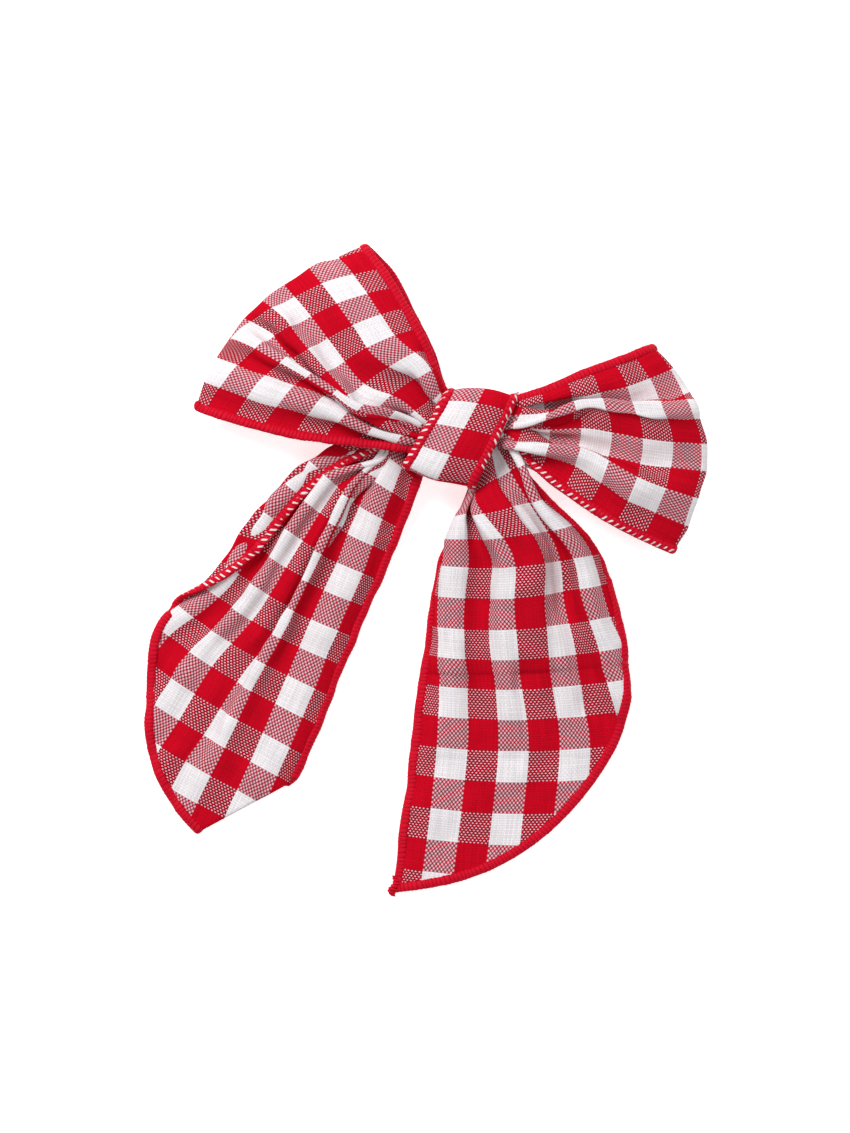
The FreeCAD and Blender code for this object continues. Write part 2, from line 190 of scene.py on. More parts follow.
def panel(stations, pleats, slack, near, crests, straight=1.0,
          looped=False, roll=None, roll_from=0.0):
    """The surface of one panel, on a grid of rows along the strip and columns across it.

    stations: (left point, right point, arch, bulge, gathered, lift) in order along the strip.
    arch is the slope at the edges of a dome; bulge pushes the row's middle away from the waist;
    gathered is 1 where small gathers take up the slack and 0 where one dome does; lift scales
    heights over the row's chord.
    pleats: functions of (u, distance from the waist) that give a slope.
    slack: (column, weight) pairs, how much of the slack each part takes.
    near: columns of the gathers' crests at the waist; crests: the same further out.
    straight: 1 where woven rows follow the stations' rows, 0 where they follow the paths' lengths.
    looped: the strip goes out and comes back to the waist.
    roll: turn of the strip's left edge at each station, for columns below roll_from.
    Returns points, and the columns and rows of the flat cloth in checks.
    """
    left = np.array([s[0] for s in stations], float)
    right = np.array([s[1] for s in stations], float)
    rest = np.array([s[2:] for s in stations], float)
    dense = np.linspace(0, len(stations) - 1, SAMPLES_A_STATION * (len(stations) - 1) + 1)
    run = run_along(catmull((left + right) / 2, dense))
    rows = int(run[-1] / ROW_STEP)
    distance = np.linspace(0, run[-1], rows)
    at = np.interp(distance, run, dense)
    left, right = catmull(left, at), catmull(right, at)
    arch, bulge, gathered, lift = catmull(rest, at).T
    bulge = np.maximum(bulge, 0)
    if looped:
        distance = np.minimum(distance, run[-1] - distance)

    across = right - left
    chords = np.linalg.norm(across, axis=1)
    across = unit(across)
    away = np.stack([across[:, 1], -across[:, 0], np.zeros(rows)], axis=1)
    away = unit(away) * np.sign(((left + right)[:, :2] * away[:, :2]).sum(1, keepdims=True))

    count = int(round((CHECKS_ACROSS - roll_from) * COLUMNS_PER_CHECK)) + 1
    u = np.linspace(roll_from, CHECKS_ACROSS, count)
    step = (u[1] - u[0]) * CHECK
    bowed = chords * (1 + 8 / 3 * (bulge / chords) ** 2)  # length of a shallow arc
    bowed = np.minimum(bowed, (count - 1) * step * FULLEST)
    dome = 1 - 2 * (u - roll_from) / (CHECKS_ACROSS - roll_from)
    base = arch[:, None] * dome
    for pleat in pleats:
        base = base + pleat(u[None, :], distance[:, None])
    out = np.clip((distance - HANDOVER_START) / HANDOVER, 0, 1)[:, None]
    takes = np.interp(u, *zip(*slack))
    even = EVEN_AT_WAIST if looped else 0.0
    small = (1 - out) * ridges(u, near) * (takes + even * (1 - takes)) + out * ridges(u, crests) * takes
    gathered = np.clip(gathered, 0, 1)[:, None]
    x, h = fit_sections(base, gathered * small + (1 - gathered) * dome, bowed, step)
    share = x / bowed[:, None]
    points = left[:, None] + (share * chords[:, None])[..., None] * across[:, None]
    points = points + (4 * share * (1 - share) * bulge[:, None])[..., None] * away[:, None]
    points[..., 2] += h * lift[:, None]

    if roll_from:
        turn = catmull(roll, at)[:, 0][:, None]
        edge_count = int(round(roll_from * COLUMNS_PER_CHECK))
        d = np.arange(1, edge_count + 1) * step
        bend = turn * np.clip(d / ROLL_ARC, 0, 1)[None, :]
        dx = -np.cumsum(np.cos(bend), axis=1) * step
        dh = np.cumsum(np.sin(bend), axis=1) * step
        edge = left[:, None] + dx[..., None] * across[:, None]
        edge[..., 2] += dh
        points = np.concatenate([edge[:, ::-1], points], axis=1)
        u = np.concatenate([u[0] - d[::-1] / CHECK, u])
    steps = np.linalg.norm(np.diff(points, axis=0), axis=2)
    v = np.vstack([np.zeros(len(u)), np.cumsum(steps, axis=0)]) / CHECK
    v = evened(v, ROW_EVENING * COLUMNS_PER_CHECK)
    v += (v.mean(1, keepdims=True) - v) * straight
    return points, np.broadcast_to(u, v.shape).copy(), v


def woven(u, v, lead, skew, ease):
    """Rows of the weave: eased apart, lead checks on, and slanted by skew from edge to edge."""
    return v * ease + lead + skew * (u / CHECKS_ACROSS - 0.5)


def surface_normals(points):
    a = np.gradient(points, axis=0)
    b = np.gradient(points, axis=1)
    return unit(np.cross(a, b))


def crinkled(points, u, v, seed, size=0.1, still=0.0):
    """Adds the unevenness of worn cotton, fading in over the first still checks."""
    fade = np.clip((v - v.min()) / still, 0, 1) if still else 1.0
    return points + surface_normals(points) * (crinkle(u, v, seed, size) * fade)[..., None]


HIGHEST_FOLD = 15.4  # the loops' folds stay under this
SOFT_LOW, SOFT_HIGH = 0.35, 0.7  # how gently heights come to rest against the two limits


def above_floor(points):
    """Lets the cloth lie on the table instead of passing through it."""
    points = points.copy()
    over = (points[..., 2] - FLOOR_CLEARANCE) / SOFT_LOW
    points[..., 2] = FLOOR_CLEARANCE + SOFT_LOW * np.logaddexp(0, over)
    return points


def pressed(points):
    """Keeps a loop's folds from standing too high."""
    points = points.copy()
    under = (HIGHEST_FOLD - points[..., 2]) / SOFT_HIGH
    points[..., 2] = HIGHEST_FOLD - SOFT_HIGH * np.logaddexp(0, under)
    return points


# The cut of a tail's end, as a Bezier curve: (distance from the long edge, how far it is cut back)
TAIL_CUT = ((0, 0), (26, 4), (42, 12), (STRIP, 62))


def cut_back(distance):
    """How far the strip's end is cut back, at a distance from the edge that has the point."""
    t = np.linspace(0, 1, 400)
    weights = ((1 - t) ** 3, 3 * t * (1 - t) ** 2, 3 * t * t * (1 - t), t**3)
    x, y = (sum(w * c[k] for w, c in zip(weights, TAIL_CUT)) for k in (0, 1))
    return np.interp(distance, x, y)


def trimmed(points, u, v, length, pointed_right):
    """Cuts a tail to its pointed end: each column ends where the cut crosses it."""
    from_point = (CHECKS_ACROSS - u[0]) * CHECK if pointed_right else u[0] * CHECK
    ends = (length - cut_back(np.maximum(from_point, 0))) / CHECK
    rows = points.shape[0]
    share = np.linspace(0, 1, rows)
    new_points, new_v = np.empty_like(points), np.empty_like(v)
    for j in range(points.shape[1]):
        wanted = share * min(ends[j], v[-1, j])
        new_v[:, j] = wanted
        for axis in range(3):
            new_points[:, j, axis] = np.interp(wanted, v[:, j], points[:, j, axis])
    return new_points, new_v


def folded_under(points, start, end, radius):
    """Turns under what lies to the right of a line in plan that goes from start to end."""
    a, b = np.array(start[:2], float), np.array(end[:2], float)
    along = unit(b - a)
    out = np.array([along[1], -along[0]])
    beyond = (points[..., :2] - a) @ out
    arc = math.pi * radius
    angle = np.clip(beyond / radius, 0, math.pi)
    shift = np.where(beyond > arc, arc - beyond, radius * np.sin(angle))
    moved = points.copy()
    change = np.where(beyond > 0, shift - beyond, 0)
    moved[..., :2] += change[..., None] * out
    moved[..., 2] -= np.where(beyond > 0, radius * (1 - np.cos(angle)), 0)
    return moved


# ---------------------------------------------------------------- meshes


def quads_of(index):
    """The four corners of every cell of a grid, one row each."""
    corners = (index[:-1, :-1], index[:-1, 1:], index[1:, 1:], index[1:, :-1])
    return np.stack(corners, axis=-1).reshape(-1, 4)


def add_mesh(name, points, faces, u, v, corners, material):
    """A smooth mesh. Its first face corners take u and v at the corners given, as the UV map."""
    mesh = bpy.data.meshes.new(name)
    mesh.from_pydata((points.reshape(-1, 3) * MM).tolist(), [], faces)
    uv = np.zeros((len(mesh.loops), 2))
    uv[: corners.size] = np.stack([u.ravel(), v.ravel()], axis=1)[corners.ravel()]
    mesh.uv_layers.new(name="cloth").data.foreach_set("uv", uv.ravel())
    mesh.polygons.foreach_set("use_smooth", [True] * len(mesh.polygons))
    mesh.materials.append(material)
    mesh.update()
    thing = bpy.data.objects.new(name, mesh)
    bpy.context.scene.collection.objects.link(thing)
    return thing


def grid_mesh(name, points, u, v, material):
    """A mesh of the grid, with the flat cloth's columns and rows as its UV map."""
    quads = quads_of(np.arange(u.size).reshape(u.shape))
    return add_mesh(name, points, quads.tolist(), u, v, quads, material)


def tube_mesh(name, points, along, around, material):
    """A closed tube through rings of points, with distances along and turns around as its UV map."""
    index = np.arange(points.shape[0] * points.shape[1]).reshape(points.shape[:2])
    quads = quads_of(np.hstack([index, index[:, :1]]))
    faces = quads.tolist() + [index[0, ::-1].tolist(), index[-1].tolist()]
    a = np.hstack([along, along[:, :1]])
    b = np.hstack([around, around[:, :1] + 1.0])
    return add_mesh(name, points, faces, a, b, quads_of(np.arange(a.size).reshape(a.shape)), material)


def thickened(thing):
    """Gives a surface the cloth's thickness, half of it to each side."""
    solid = thing.modifiers.new("thickness", "SOLIDIFY")
    solid.thickness = CLOTH * MM
    solid.offset = 0.0
    return thing


def settle(thing, nodes):
    """Ties a finished piece to the frame. All of the cloth rides on the body bow."""
    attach(thing, "bow")
    if nodes:
        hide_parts(*nodes)


EDGE_DEPTH = 3  # mesh columns or rows back from an edge that give its direction


def edge_path(points, side):
    """Points along one edge of a grid, the direction out of the cloth there, and its normal.

    side is one of left, right and end.
    """
    normals = surface_normals(points)
    edge, inner, face = {
        "left": (points[:, 0], points[:, EDGE_DEPTH], normals[:, 0]),
        "right": (points[:, -1], points[:, -1 - EDGE_DEPTH], normals[:, -1]),
        "end": (points[-1], points[-1 - EDGE_DEPTH], normals[-1]),
    }[side]
    return edge, edge - inner, face


def evenly(path, outs, faces, spacing):
    """The path again with points at an even spacing."""
    run = run_along(path)
    keep = np.concatenate([[True], np.diff(run) > 1e-6])
    path, outs, faces, run = path[keep], outs[keep], faces[keep], run[keep]
    s = np.linspace(0, run[-1], max(int(run[-1] / spacing), 4))
    cols = [np.stack([np.interp(s, run, a[:, k]) for k in range(3)], axis=1) for a in (path, outs, faces)]
    return cols[0], cols[1], cols[2], s


RINGS_A_STITCH = 5
HEM_SIDES = 16
EASED_OVER = 7  # rings each way over which an edging's path is smoothed
JITTER_EVERY, JITTER = 1.1, 0.16  # how unevenly stitches follow each other, in stitches
SWELL_EVERY, SWELL = 1.4, 0.05  # how unevenly thick the edging is
STITCH_LEAN = 0.3  # stitches by which the turns slant round the edging
GROOVE_SIZE, STITCH_RISE = 0.94, 0.13  # the edging's size between two stitches, and what one adds


def around_ring(first, second, theta, wide=1.0, high=1.0):
    """Rings about a path, wide along the first direction and high along the second."""
    across = first[:, None] * (np.cos(theta) * wide)[None, :, None]
    return across + second[:, None] * (np.sin(theta) * high)[None, :, None]


def oversewn(name, parts, material, seed):
    """The thread edging along a path made of one or more edges of a cloth."""
    local = np.random.default_rng(seed)
    path, outs, faces = (np.concatenate([p[k] for p in parts]) for k in range(3))
    path, outs, faces, s = evenly(path, outs, faces, STITCH / RINGS_A_STITCH)
    window = np.hanning(2 * EASED_OVER + 1)
    window /= window.sum()

    def eased(a):
        padded = np.pad(a, ((EASED_OVER, EASED_OVER), (0, 0)), mode="edge")
        return np.stack([np.convolve(padded[:, k], window, "valid") for k in range(3)], axis=1)

    def uneven(every, middle, spread):
        """Random values at this spacing along the path, carried to all of it."""
        knots = np.arange(0, s[-1] + 2, every)
        return np.interp(s, knots, local.normal(middle, spread, len(knots)))[:, None]

    tangent = unit(np.gradient(eased(path), axis=0))
    outs = eased(outs)
    outs = unit(outs - (outs * tangent).sum(1, keepdims=True) * tangent)
    face = unit(np.cross(outs, tangent))
    face *= np.where((face * faces).sum(1, keepdims=True) < 0, -1.0, 1.0)
    centre = path - outs * HEM_HALF_WIDTH
    theta = np.linspace(0, 2 * math.pi, HEM_SIDES, endpoint=False)
    stitch = s[:, None] / STITCH + uneven(JITTER_EVERY, 0, JITTER)
    swell = uneven(SWELL_EVERY, 1, SWELL)
    lobes = np.abs(np.sin(math.pi * (stitch + STITCH_LEAN * np.sin(theta)[None, :]))) ** 0.7
    lobes = (GROOVE_SIZE + STITCH_RISE * lobes) * swell
    ring = around_ring(outs, face, theta, HEM_HALF_WIDTH, HEM_HALF_DEPTH)
    points = centre[:, None] + ring * lobes[..., None]
    points[..., 2] = np.maximum(points[..., 2], 0.0)
    around = np.broadcast_to(theta[None, :] / (2 * math.pi), lobes.shape)
    return tube_mesh(name, points, np.broadcast_to(stitch, lobes.shape), around, material)


# ---------------------------------------------------------------- materials


class Nodes:
    """Short ways to add and join shader nodes."""

    def __init__(self, name):
        self.material = bpy.data.materials.new(name)
        self.material.use_nodes = True
        self.tree = self.material.node_tree
        self.shader = self.tree.nodes["Principled BSDF"]

    def add(self, kind, **settings):
        node = self.tree.nodes.new(kind)
        for key, value in settings.items():
            setattr(node, key, value)
        return node

    def feed(self, socket, value):
        if hasattr(value, "is_output"):
            self.tree.links.new(value, socket)
        else:
            socket.default_value = value

    def math(self, operation, *values):
        node = self.add("ShaderNodeMath", operation=operation)
        for socket, value in zip(node.inputs, values):
            self.feed(socket, value)
        return node.outputs[0]

    def mix(self, factor, a, b):
        node = self.add("ShaderNodeMix", data_type="RGBA")
        self.feed(node.inputs["Factor"], factor)
        self.feed(node.inputs["A"], a)
        self.feed(node.inputs["B"], b)
        return node.outputs["Result"]

    def between(self, value, low, high, to_low=0.0, to_high=1.0):
        node = self.add("ShaderNodeMapRange", interpolation_type="SMOOTHSTEP")
        for socket, given in zip(node.inputs, (value, low, high, to_low, to_high)):
            self.feed(socket, given)
        return node.outputs[0]

    def uv(self):
        """The two coordinates of the UV map."""
        split = self.add("ShaderNodeSeparateXYZ")
        self.tree.links.new(self.add("ShaderNodeUVMap", uv_map="cloth").outputs[0], split.inputs[0])
        return split.outputs[0], split.outputs[1]

    def surface(self, **values):
        """Sets inputs of the main shader, named with _ for each space."""
        for name, value in values.items():
            self.feed(self.shader.inputs[name.replace("_", " ")], value)

    def noise(self, scale, detail, vector=None):
        node = self.add("ShaderNodeTexNoise")
        node.inputs["Scale"].default_value = scale
        node.inputs["Detail"].default_value = detail
        if vector is None:
            vector = self.add("ShaderNodeTexCoord").outputs["Object"]
        self.tree.links.new(vector, node.inputs["Vector"])
        return node.outputs["Fac"]

    def bump(self, height, strength, distance):
        node = self.add("ShaderNodeBump")
        node.inputs["Strength"].default_value = strength
        node.inputs["Distance"].default_value = distance
        self.tree.links.new(height, node.inputs["Height"])
        self.tree.links.new(node.outputs[0], self.shader.inputs["Normal"])


RED = (0.60, 0.003, 0.016, 1)
RED_BESIDE_WHITE = (0.56, 0.003, 0.016, 1)
WHITE = (0.90, 0.86, 0.885, 1)
WHITE_BESIDE_RED = (0.88, 0.50, 0.57, 1)
SHADE_BETWEEN_THREADS = (0.08, 0.001, 0.005, 1)  # painted shade in the hollows where red and white threads cross
THREADS_ACROSS = 16.0  # per check, running along the strip
THREADS_ALONG = 13.0  # per check, running across it
WEFT_SHOWS_FROM = (0.59, 0.71)  # its height over the warp where it starts to show, and shows fully
EDGING_LIGHT = (0.72, 0.006, 0.03, 1)
EDGING_DARK = (0.54, 0.003, 0.018, 1)
EDGING_GROOVE_SHADE = (0.42, 0.001, 0.010, 1)  # painted shade between two turns of the thread
PALE_STITCH = (0.88, 0.78, 0.80, 1)
THREAD_RELIEF = 0.00012  # metres
# For Nodes.between: input from and to, then output from and to
HOLLOW_SHADE_BELOW = (0.9, 0.3)  # height of the weave where the painted shade in its hollows starts, and where it is full
GAP_SHADE = (0.8, 0.1, 0.0, 0.2)  # height of the weave, and how much painted shade darkens it there
THREAD_TONES = (0.3, 0.7, 0.84, 1.04)  # noise, and a thread's tone
PALE_STARTS, PALE_ENDS = (0.70, 0.74), (0.92, 0.88)  # the band of pale stitches round the edging


def gingham():
    """Plain weave of red and white threads: a check is red where both threads are red."""
    m = Nodes("gingham")
    u, v = m.uv()
    column_red = m.math("LESS_THAN", m.math("FLOORED_MODULO", u, 2.0), 1.0)
    row_red = m.math("LESS_THAN", m.math("FLOORED_MODULO", v, 2.0), 1.0)
    mixed = m.math("ABSOLUTE", m.math("SUBTRACT", column_red, row_red))
    tu = m.math("MULTIPLY", u, THREADS_ACROSS)
    tv = m.math("MULTIPLY", v, THREADS_ALONG)

    def thread(own, other, rise):
        """Height of the top of one set of threads; own counts them, other runs along them."""
        side = m.math("MULTIPLY", m.math("SUBTRACT", m.math("FRACT", own), 0.5), 2.0)
        fall = m.math("SUBTRACT", 1.0, m.math("MULTIPLY", side, side))
        round_top = m.math("SQRT", m.math("MAXIMUM", fall, 0.0))
        odd = m.math("FLOORED_MODULO", m.math("FLOOR", own), 2.0)
        turn = m.math("SUBTRACT", 1.0, m.math("MULTIPLY", odd, 2.0))
        wave = m.math("MULTIPLY", m.math("SINE", m.math("MULTIPLY", other, math.pi)), turn)
        return m.math("ADD", m.math("MULTIPLY", wave, rise), m.math("MULTIPLY", round_top, 0.5))

    warp_height = thread(tu, tv, 0.5)
    weft_height = thread(tv, tu, -0.5)
    # the warp is the heavier thread, so more of it shows
    weft_over = m.math("SUBTRACT", weft_height, warp_height)
    weft_shows = m.between(weft_over, *WEFT_SHOWS_FROM)
    above = m.math("MULTIPLY", weft_shows, weft_over)
    height = m.math("ADD", warp_height, above)
    red = m.mix(mixed, RED, RED_BESIDE_WHITE)
    white = m.mix(mixed, WHITE, WHITE_BESIDE_RED)
    warp = m.mix(column_red, white, red)
    weft = m.mix(row_red, white, red)
    colour = m.mix(weft_shows, warp, weft)
    # painted shade: in mixed checks the hollows of the weave are darkened to near-black red
    hollow_shade = m.math("MULTIPLY", m.between(height, *HOLLOW_SHADE_BELOW), m.math("MULTIPLY", mixed, 0.75))
    colour = m.mix(hollow_shade, colour, SHADE_BETWEEN_THREADS)

    def slub(across, along):
        """Each thread's own tone, which changes slowly along it."""
        place = m.add("ShaderNodeCombineXYZ")
        m.tree.links.new(across, place.inputs[0])
        m.tree.links.new(m.math("MULTIPLY", along, 0.05), place.inputs[1])
        return m.noise(1.0, 1, place.outputs[0])

    tone = m.mix(weft_shows, slub(tu, tv), slub(tv, tu))
    tone = m.between(tone, *THREAD_TONES)
    # painted shade: low parts of the weave are darkened towards black, on top of each thread's own random
    # tone
    painted_gap_shade = m.between(height, *GAP_SHADE)
    tone_and_shade = m.math("MULTIPLY", tone, m.math("SUBTRACT", 1.0, painted_gap_shade))
    colour = m.mix(tone_and_shade, (0, 0, 0, 1), colour)
    m.surface(Base_Color=colour, Roughness=0.88, Specular_IOR_Level=0.02)
    m.bump(height, 0.3, THREAD_RELIEF)
    return m.material


def edging_thread(name="edging_thread", dotted=False):
    """Red thread in slanting turns. If dotted, pale slanted stitches show on one side of it."""
    m = Nodes(name)
    s, around = m.uv()
    turn = m.math("FRACT", m.math("ADD", s, around))
    groove = m.between(m.math("ABSOLUTE", m.math("SUBTRACT", turn, 0.5)), 0.26, 0.5)
    fine = m.math("FRACT", m.math("MULTIPLY", m.math("ADD", s, m.math("MULTIPLY", around, 2.0)), 4.0))
    ply = m.math("ABSOLUTE", m.math("SUBTRACT", fine, 0.5))
    tone = m.noise(900.0, 3)
    # painted shade: the groove between two turns of the thread is darkened, and the bump also sinks it
    colour = m.mix(groove, m.mix(tone, EDGING_DARK, EDGING_LIGHT), EDGING_GROOVE_SHADE)
    if dotted:
        where = m.math("MULTIPLY", m.between(around, *PALE_STARTS), m.between(around, *PALE_ENDS))
        where = m.math("MULTIPLY", where, m.between(m.noise(420.0, 1), 0.40, 0.46))
        slanted = m.math("ADD", s, m.math("MULTIPLY", around, 4.0))
        pair = m.math("FRACT", m.math("MULTIPLY", slanted, 0.6))
        bead = m.between(m.math("ABSOLUTE", m.math("SUBTRACT", pair, 0.5)), 0.17, 0.10)
        colour = m.mix(m.math("MULTIPLY", where, bead), colour, PALE_STITCH)
    m.surface(Base_Color=colour, Roughness=0.6, Specular_IOR_Level=0.06)
    m.bump(m.math("SUBTRACT", m.math("MULTIPLY", ply, 0.5), groove), 0.5, THREAD_RELIEF)
    return m.material


def plain_thread():
    """Undyed twisted thread."""
    m = Nodes("binding_thread")
    s, around = m.uv()
    ply = m.math("FRACT", m.math("ADD", m.math("MULTIPLY", s, 2.0), m.math("MULTIPLY", around, 2.0)))
    from_middle = m.math("ABSOLUTE", m.math("SUBTRACT", ply, 0.5))
    colour = m.mix(from_middle, (0.62, 0.6, 0.56, 1), (0.85, 0.83, 0.79, 1))
    m.surface(Base_Color=colour, Roughness=0.6)
    m.bump(ply, 0.4, 0.0001)
    return m.material


def clip_steel(name, low, high, roughness):
    """Rolled sheet steel: fine lines along the clip and faint smudges."""
    m = Nodes(name)
    stretch = m.add("ShaderNodeMapping")
    stretch.inputs["Scale"].default_value = (60.0, 2600.0, 2600.0)
    m.tree.links.new(m.add("ShaderNodeTexCoord").outputs["Object"], stretch.inputs[0])
    lines = m.noise(1.0, 4, stretch.outputs[0])
    smudge = m.noise(160.0, 3)
    rough = m.math("ADD", roughness, m.math("MULTIPLY", smudge, 0.18))
    m.surface(Base_Color=m.mix(lines, low, high), Metallic=1.0, Roughness=rough)
    m.bump(lines, 0.15, 0.00002)
    return m.material


def hot_melt():
    """Cloudy, slightly see-through glue."""
    m = Nodes("hot_melt_glue")
    cloud = m.noise(500.0, 3)
    colour = m.mix(cloud, (0.72, 0.68, 0.58, 1), (0.86, 0.84, 0.76, 1))
    m.surface(Base_Color=colour, Roughness=0.35, Subsurface_Weight=0.2)
    m.bump(cloud, 0.3, 0.0002)
    return m.material


GINGHAM = gingham()
EDGING = edging_thread()
DOTTED_EDGING = edging_thread("edging_thread_dotted", dotted=True)

# ---------------------------------------------------------------- the four panels


PLEAT_FADE, FOLD_FADE, CURL_FADE = 0.7, 0.5, 0.6  # powers: the lower, the longer a shape holds


def fading(shape, centre, width, strength, reach):
    """A pleat that is deepest at the waist and gone at reach from it."""

    def slope(u, distance):
        return strength * np.clip(1 - distance / reach, 0, 1) ** PLEAT_FADE * shape(u, centre, width)

    return slope


def arranged(slopes, reach):
    """Slopes at given columns near the waist, gone at reach from it."""
    columns, values = zip(*slopes)

    def slope(u, distance):
        return np.interp(u, columns, values) * np.clip(1 - distance / reach, 0, 1) ** FOLD_FADE

    return slope


def curled(edge, width, near, far, reach):
    """The slope of an edge (0 or CHECKS_ACROSS) that curls down, near and far from the waist."""

    def slope(u, distance):
        steep = far + (near - far) * np.clip(1 - distance / reach, 0, 1)
        inner = np.clip(1 - np.abs(u - edge) / width, 0, 1) ** CURL_FADE
        return steep * inner * (1 if edge == 0 else -1)

    return slope


# Each row: left and right point, arch, bulge, gathered, lift
LEFT_LOOP = [
    (seen(-1.2, 4.5, 9.6), seen(-7.8, -8.6, 9.6), 0.0, 0.0, 1.0, 0.45),
    (seen(-4.6, 6.6, 10.4), seen(-12.9, -6.9, 10.2), 0.1, 0.0, 1.0, 0.5),
    (seen(-7.4, 13.9, 12.0), seen(-23.8, -5.5, 11.2), 0.25, 2.0, 1.0, 0.7),
    (seen(-11.3, 21.5, 12.0), seen(-34.9, -4.1, 10.8), 0.2, 4.0, 1.0, 0.75),
    (seen(-15.8, 29.1, 10.4), seen(-46.7, -1.2, 9.4), 0.15, 5.6, 1.0, 0.75),
    (seen(-20.3, 35.6, 6.6), seen(-56.2, 2.2, 5.8), 0.05, 6.4, 0.9, 0.5),
    (seen(-14.9, 30.2, 3.4), seen(-46.0, 0.2, 3.0), 0.1, 5.4, 0.5, 0.0),
    (seen(-10.6, 21.8, 5.4), seen(-34.4, -3.0, 5.2), 0.0, 3.5, 0.8, 0.2),
    (seen(-6.6, 13.4, 7.6), seen(-23.2, -4.6, 7.4), 0.0, 1.5, 1.0, 0.4),
    (seen(-4.4, 6.2, 8.9), seen(-12.6, -6.4, 8.9), 0.0, 0.0, 1.0, 0.45),
    (seen(-1.2, 4.2, 8.9), seen(-7.6, -8.2, 8.9), 0.0, 0.0, 1.0, 0.45),
]
RIGHT_LOOP = [
    (seen(4.9, 3.3, 9.4), seen(3.3, -2.0, 9.4), 0.0, 0.0, 1.0, 0.45),
    (seen(9.0, 4.6, 10.2), seen(6.8, -2.0, 10.2), 0.0, 0.0, 1.0, 0.45),
    (seen(16.4, 7.0, 11.6), seen(12.7, -9.8, 11.4), 0.1, 2.0, 1.0, 0.6),
    (seen(24.0, 10.2, 12.2), seen(20.1, -15.8, 11.4), 0.2, 4.5, 0.9, 0.6),
    (seen(31.2, 12.9, 10.8), seen(30.1, -22.1, 10.2), 0.25, 7.4, 0.7, 0.65),
    (seen(37.5, 15.6, 6.8), seen(41.5, -27.2, 6.2), 0.15, 9.0, 0.6, 0.5),
    (seen(31.2, 13.2, 3.6), seen(31.0, -21.0, 3.6), 0.1, 7.4, 0.5, 0.0),
    (seen(24.0, 10.0, 7.2), seen(21.0, -14.8, 7.4), 0.0, 4.5, 0.8, 0.2),
    (seen(16.4, 6.8, 8.8), seen(13.4, -8.8, 8.8), 0.0, 2.0, 1.0, 0.45),
    (seen(9.0, 4.2, 8.8), seen(7.0, -2.0, 8.8), 0.0, 0.0, 1.0, 0.45),
    (seen(4.9, 3.0, 8.8), seen(3.4, -2.0, 8.8), 0.0, 0.0, 1.0, 0.45),
]
LEFT_TAIL = [
    (seen(-10.0, 0.6, 8.4), seen(-5.2, -7.0, 7.6), 0.0, 0.0, 1.0, 0.5),
    (seen(-17.0, -1.4, 7.4), seen(-8.2, -9.6, 6.0), 0.1, 0.0, 1.0, 0.5),
    (seen(-26.0, -5.0, 6.0), seen(-10.2, -14.2, 4.2), 0.15, 0.0, 1.0, 0.55),
    (seen(-36.2, -11.6, 4.6), seen(-13.3, -22.6, 2.4), 0.2, 1.0, 1.0, 0.6),
    (seen(-45.4, -22.2, 3.4), seen(-17.6, -32.4, 1.2), 0.2, 1.2, 0.9, 0.6),
    (seen(-53.8, -33.6, 1.8), seen(-23.0, -45.1, 0.6), 0.15, 1.4, 0.9, 0.6),
    (seen(-66.3, -42.5, 0.6), seen(-28.7, -59.0, 0.6), 0.1, 1.2, 0.8, 0.6),
    (seen(-74.7, -55.1, 0.5), seen(-34.4, -72.8, 0.6), 0.05, 0.5, 0.8, 0.6),
    (seen(-82.5, -65.6, 0.5), seen(-39.4, -84.5, 0.6), 0.0, 0.0, 0.8, 0.6),
    (seen(-88.6, -77.7, 0.5), seen(-44.6, -97.0, 0.6), 0.0, 0.0, 0.8, 0.6),
    (seen(-93.8, -90.1, 0.5), seen(-49.8, -109.4, 0.6), 0.0, 0.0, 0.8, 0.6),
]
LEFT_TAIL_ROLL = [3.0, 3.0, 3.0, 3.0, 3.0, 2.4, 0.2, 0.0, 0.0, 0.0, 0.0]  # radians
RIGHT_TAIL = [
    (seen(-1.2, -8.6, 7.6), seen(3.7, -2.1, 8.0), 0.0, 0.0, 1.0, 0.3),
    (seen(0.2, -13.2, 6.6), seen(7.2, -3.4, 7.6), 0.1, 0.0, 1.0, 0.35),
    (seen(-2.7, -20.5, 4.6), seen(15.8, -15.6, 6.4), 0.2, 0.5, 1.0, 0.65),
    (seen(-5.5, -29.1, 2.4), seen(25.6, -25.6, 4.4), 0.25, 1.0, 1.0, 0.7),
    (seen(-7.8, -39.4, 1.0), seen(30.4, -35.5, 2.8), 0.2, 1.3, 0.9, 0.7),
    (seen(-9.6, -50.2, 0.6), seen(37.0, -47.0, 1.6), 0.15, 1.4, 0.9, 0.7),
    (seen(-11.5, -64.6, 0.6), seen(43.4, -62.6, 0.8), 0.05, 1.4, 0.9, 0.7),
    (seen(-13.3, -80.0, 0.6), seen(43.0, -79.6, 0.6), 0.0, 1.4, 0.9, 0.7),
    (seen(-15.6, -97.4, 0.6), seen(41.0, -97.0, 0.6), 0.0, 1.4, 0.9, 0.7),
]
LEFT_TAIL_LENGTH = 105.0  # along its longer edge
RIGHT_TAIL_LENGTH = 97.7
ROLLED = 1.1  # checks of the left tail's edge that are rolled over


def loop_sheet(name, points, u, v, weave, lower_material, seed):
    """The cloth of a loop, one folded sheet, with the edgings on its two long edges."""
    cloth = thickened(grid_mesh(f"{name}_cloth", points, u, woven(u, v, **weave), GINGHAM))
    settle(cloth, [name])
    upper = oversewn(f"{name}_upper_hem", [edge_path(points, "left")], EDGING, seed)
    settle(upper, [f"{name}_upper_edging"])
    lower = oversewn(f"{name}_lower_hem", [edge_path(points, "right")], lower_material, seed + 1)
    settle(lower, [f"{name}_lower_edging"])


